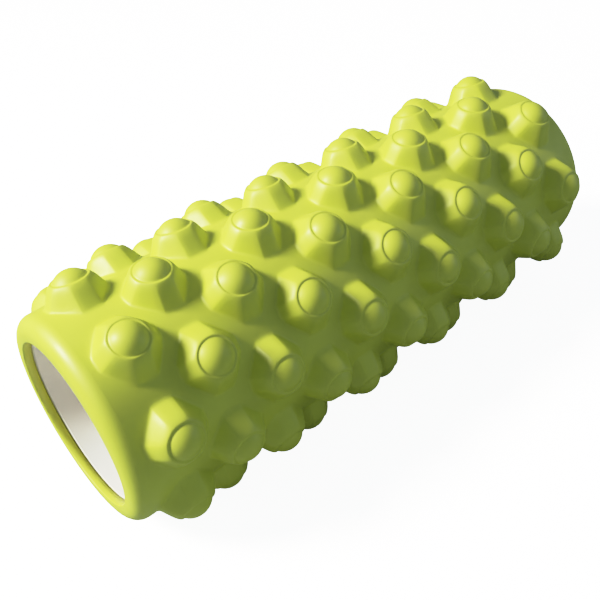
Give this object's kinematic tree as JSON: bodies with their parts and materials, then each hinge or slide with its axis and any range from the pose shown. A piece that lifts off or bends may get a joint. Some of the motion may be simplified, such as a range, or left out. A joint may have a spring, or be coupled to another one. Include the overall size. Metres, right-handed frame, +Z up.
{
  "type": "foot massage roller",
  "caption": "Hollow foam massage roller with staggered rows of pyramid-shaped, dome-topped studs moulded in one with a soft sleeve on a plastic core tube, open at both ends.",
  "frame": {"origin": "on the surface the roller lies on, under the middle of its length", "axes": "+X along the roller's axis, +Z up; it lies on two neighbouring lines of studs"},
  "size_m": [0.33, 0.1348, 0.1348],
  "materials": {
    "foam": "satin skin of moulded EVA foam",
    "core": "extruded ABS pipe, matt"
  },
  "bodies": {
    "root": {"foam_sleeve": "foam", "core_tube": "core"}
  },
  "joints": []
}
